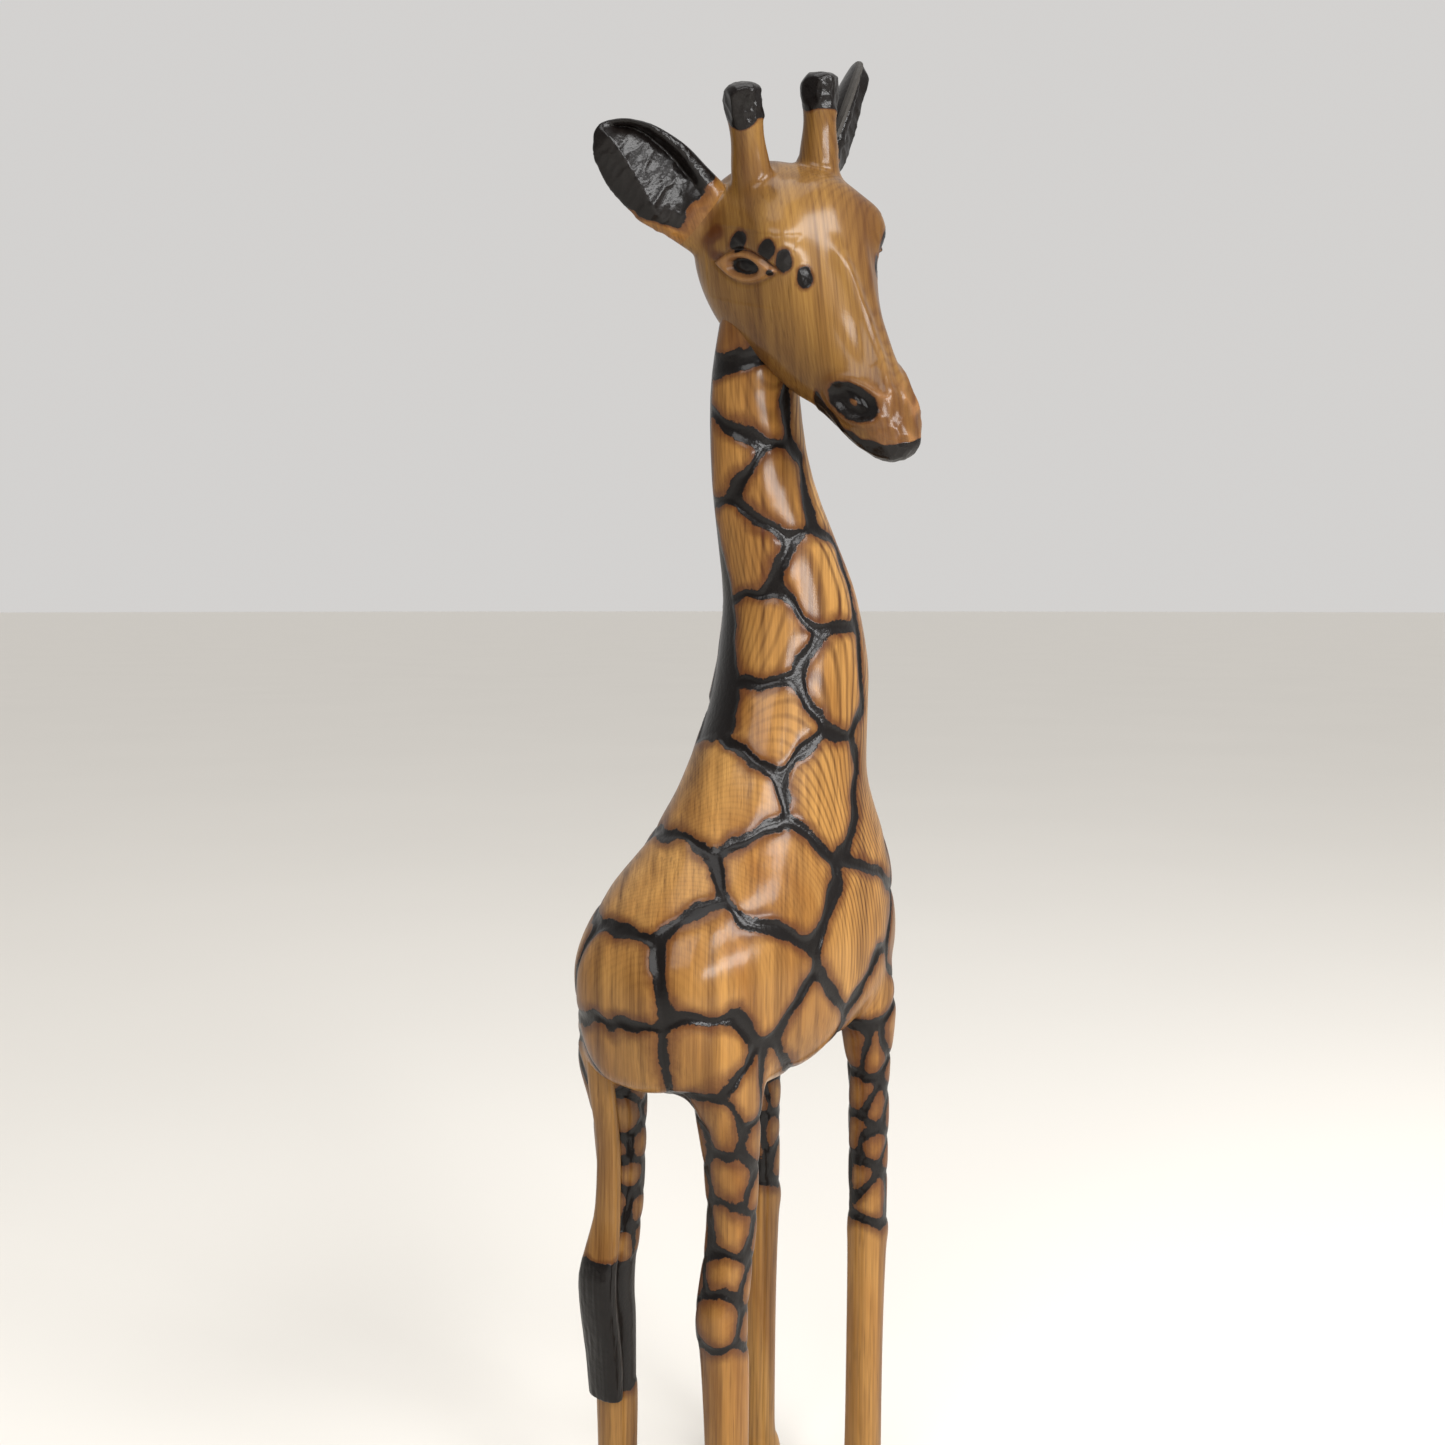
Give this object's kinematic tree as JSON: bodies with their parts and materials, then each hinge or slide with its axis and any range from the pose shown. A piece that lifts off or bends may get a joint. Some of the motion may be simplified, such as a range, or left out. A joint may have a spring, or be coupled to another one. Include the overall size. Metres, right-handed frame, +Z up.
{
  "type": "carved giraffe statue",
  "caption": "Hand-carved wooden giraffe standing with its head turned to its right, lacquered, with burnt-in spots, mane, ears and horn tips.",
  "frame": {"origin": "on the surface the statue stands on, under the middle of its bounding box", "axes": "+X the way the body faces, +Y to its left side, +Z up. The head is turned towards -Y."},
  "size_m": [0.114, 0.0864, 0.4482],
  "materials": {
    "lacquered_wood": "satin lacquer over golden-brown hardwood with burnt lines",
    "burnt_wood": "burnt black and lacquered, chisel-marked",
    "horn_wood": "lacquered stem with a burnt black tip",
    "tail_wood": "lacquered, with a burnt black tuft"
  },
  "bodies": {
    "root": {"torso": "lacquered_wood", "neck": "lacquered_wood", "head": "lacquered_wood", "ear_left": "burnt_wood", "ear_right": "burnt_wood", "horn_left": "horn_wood", "horn_right": "horn_wood", "leg_front_left": "lacquered_wood", "leg_front_right": "lacquered_wood", "leg_rear_left": "lacquered_wood", "leg_rear_right": "lacquered_wood", "tail": "tail_wood"}
  },
  "joints": []
}
